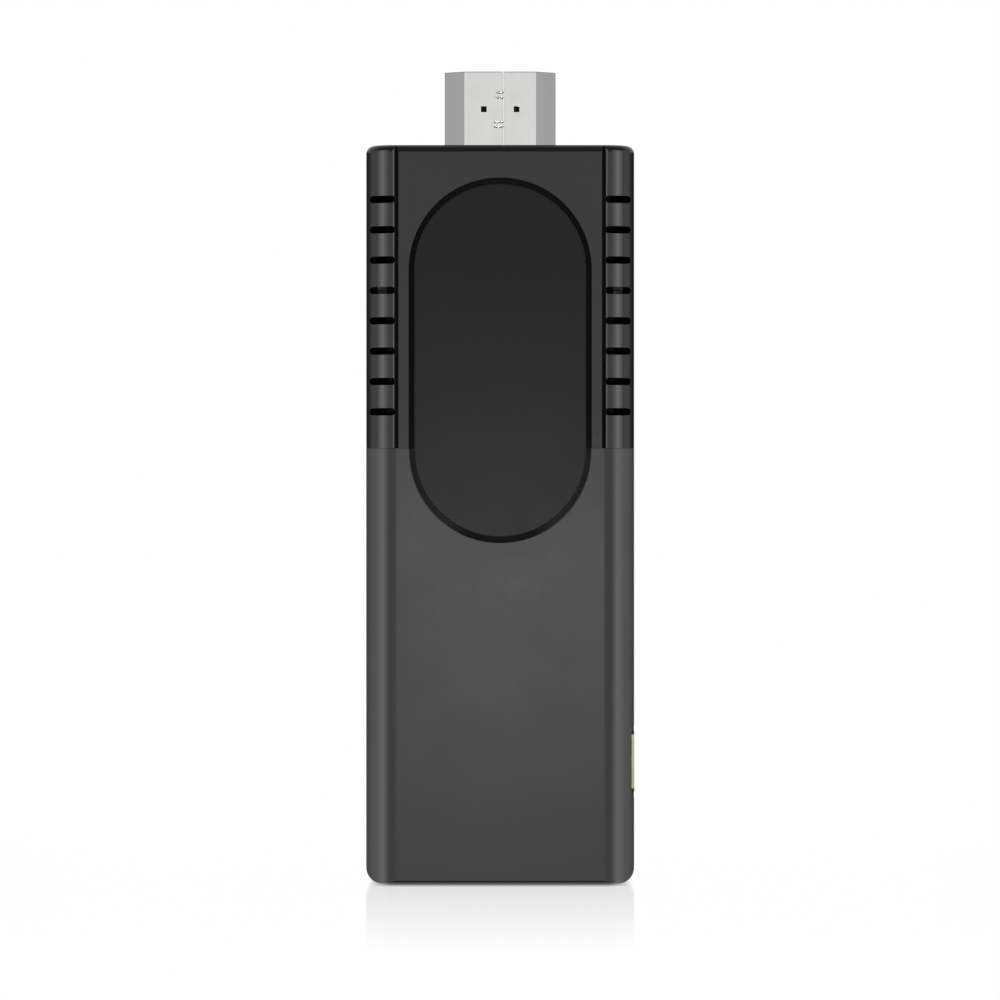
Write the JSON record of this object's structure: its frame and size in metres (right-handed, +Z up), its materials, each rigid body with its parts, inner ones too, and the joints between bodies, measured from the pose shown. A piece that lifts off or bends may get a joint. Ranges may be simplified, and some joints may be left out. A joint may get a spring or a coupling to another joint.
{
  "type": "streaming media player",
  "caption": "Stick-shaped streaming media player with a bevelled video plug at its top end, vented rounded side rails, an oval front inlay, a side power socket and a side reset button.",
  "frame": {"origin": "middle of the bottom end, on the surface that the stick stands on", "axes": "+Z up along the stick to the video plug, -Y out of the front face, +X to the right of someone who looks at the front"},
  "size_m": [0.0336, 0.013, 0.1013],
  "materials": {
    "gloss_black": "polished black plastic",
    "satin_graphite": "fine-textured dark grey plastic",
    "inlay_black": "smooth black plate",
    "label_grey": "blank printed film",
    "tape": "double-sided foam tape",
    "plug_metal": "nickel-plated steel sheet",
    "plug_insulator": "moulded black nylon",
    "gold_contact": "gold-plated copper alloy",
    "socket_gold": "pale gold-plated steel sheet",
    "button_black": "moulded black plastic",
    "switch_black": "moulded black nylon",
    "switch_white": "white nylon",
    "spring_steel": "thin spring steel",
    "light_pipe": "clear acrylic",
    "lamp": "white package with a clear window",
    "board_black": "glass-fibre laminate with black solder mask",
    "chip_black": "moulded epoxy",
    "ferrite": "ferrite with a lacquered coil",
    "ceramic": "tan ceramic with tinned ends",
    "resistor_black": "black glazed film with tinned ends",
    "tantalum": "yellow moulded epoxy",
    "tinned_can": "tin-plated steel sheet",
    "thermal_grey": "soft silicone pad",
    "heat_sink_metal": "extruded aluminium",
    "screw_steel": "blackened steel"
  },
  "bodies": {
    "casing": {"upper_front_cover": "gloss_black", "lower_front_cover": "satin_graphite", "rear_cover": "satin_graphite", "rear_label": "label_grey", "oval_inlay": "inlay_black", "inlay_tape": "tape", "video_plug_shell": "plug_metal", "video_plug_insulator": "plug_insulator", "video_plug_contacts": "gold_contact", "video_plug_collar": "tinned_can", "power_socket_shell": "socket_gold", "power_socket_insulator": "plug_insulator", "power_socket_contacts": "gold_contact", "reset_switch_dome": "spring_steel", "reset_switch_body": "switch_black", "light_pipe": "light_pipe", "status_led": "lamp", "circuit_board": "board_black", "board_screws": "screw_steel", "main_processor": "chip_black", "memory_chips": "chip_black", "flash_chip": "chip_black", "power_chip": "chip_black", "surge_arrays": "chip_black", "crystal": "tinned_can", "tantalum_capacitors": "tantalum", "power_inductors": "ferrite", "ceramic_capacitors": "ceramic", "chip_resistors": "resistor_black", "thermal_pad": "thermal_grey", "heat_sink": "heat_sink_metal", "radio_module": "board_black", "radio_chip": "chip_black", "radio_shield_can": "tinned_can", "radio_aerial": "tinned_can"},
    "reset_key": {"reset_button": "button_black", "reset_switch_plunger": "switch_white"}
  },
  "joints": [
    {"name": "reset_press", "type": "slide", "parent": "casing", "child": "reset_key", "axis": [1, 0, 0], "range_m": [0, 0.0003], "stiffness_N_per_m": 4000}
  ]
}
